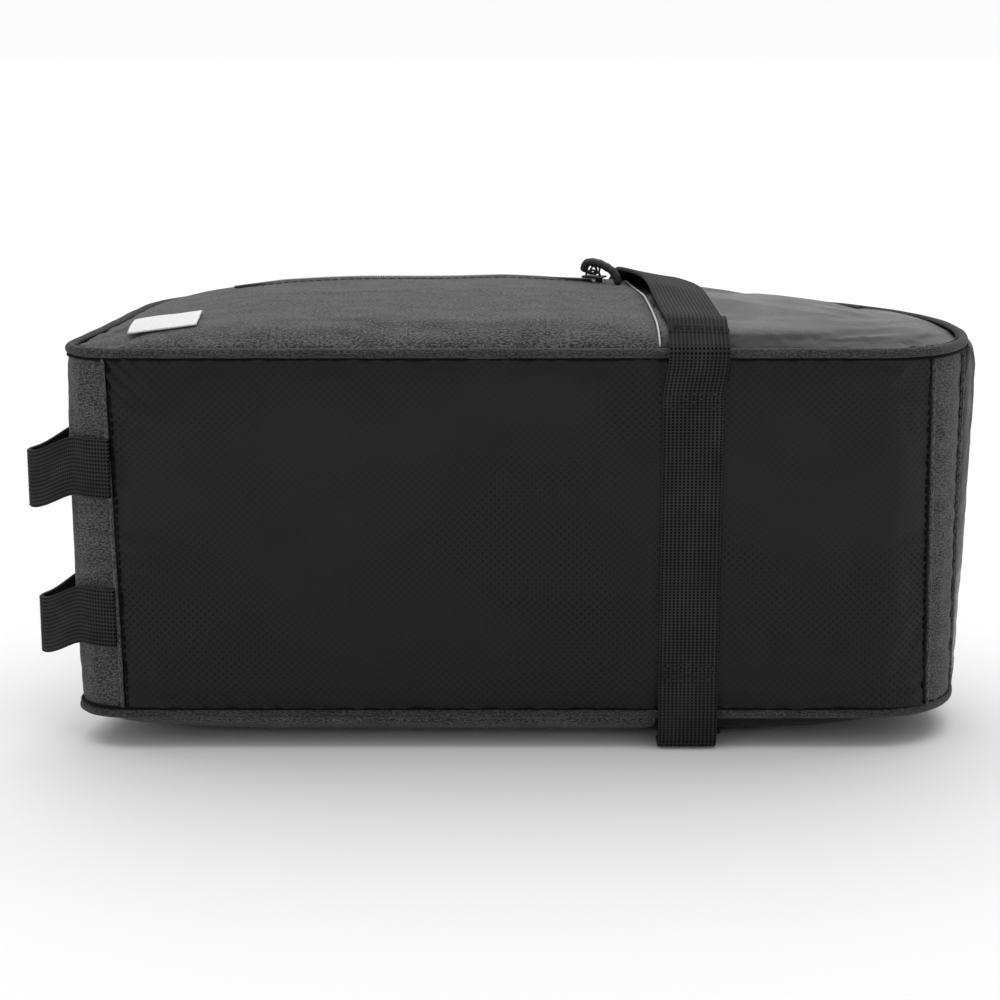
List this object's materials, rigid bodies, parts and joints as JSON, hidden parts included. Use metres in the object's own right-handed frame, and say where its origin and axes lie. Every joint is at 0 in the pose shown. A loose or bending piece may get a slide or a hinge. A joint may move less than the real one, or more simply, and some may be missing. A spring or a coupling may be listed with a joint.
{
  "type": "bicycle trunk bag",
  "caption": "Soft hollow trunk bag for a bicycle rack, lying on its side: piped panels, slanted side seam, zip with puller, webbing straps round body and base, and front loops.",
  "frame": {"origin": "centre of the bounding box in X and Y, on the surface that the bag lies on", "axes": "+X from the bag's front to its rear, +Y from its base panel to its top, +Z from its right side, which it lies on, to its left side"},
  "size_m": [0.4102, 0.1712, 0.1923],
  "materials": {
    "heather": "heathered grey woven polyester with a coarse melange, matt",
    "embossed_coated": "black coated cloth with a small raised lozenge emboss, low sheen",
    "smooth_coated": "smooth black coated cloth with a fine grain, satin",
    "webbing": "black ribbed polypropylene webbing, matt",
    "reflective": "light grey retro-reflective piping",
    "zip_tape": "black woven zip tape with a nylon coil",
    "zip_metal": "black painted zinc, low gloss",
    "grip_plastic": "dark grey moulded soft puller",
    "label": "light grey woven label, bare"
  },
  "bodies": {
    "root": {"base_panel": "embossed_coated", "front_panel": "heather", "top_panel": "heather", "rear_panel": "smooth_coated", "rear_strip": "heather", "light_strip": "smooth_coated", "left_side_front": "heather", "left_side_rear": "smooth_coated", "right_side_front": "heather", "right_side_rear": "smooth_coated", "left_edge_piping": "heather", "right_edge_piping": "heather", "left_reflective_piping": "reflective", "right_reflective_piping": "reflective", "base_strap": "webbing", "body_strap": "webbing", "front_loop_upper": "webbing", "front_loop_lower": "webbing", "zip_tape": "zip_tape", "zip_slider": "zip_metal", "zip_pull_loop": "zip_metal", "zip_pull_grip": "grip_plastic", "label_patch": "label"}
  },
  "joints": []
}
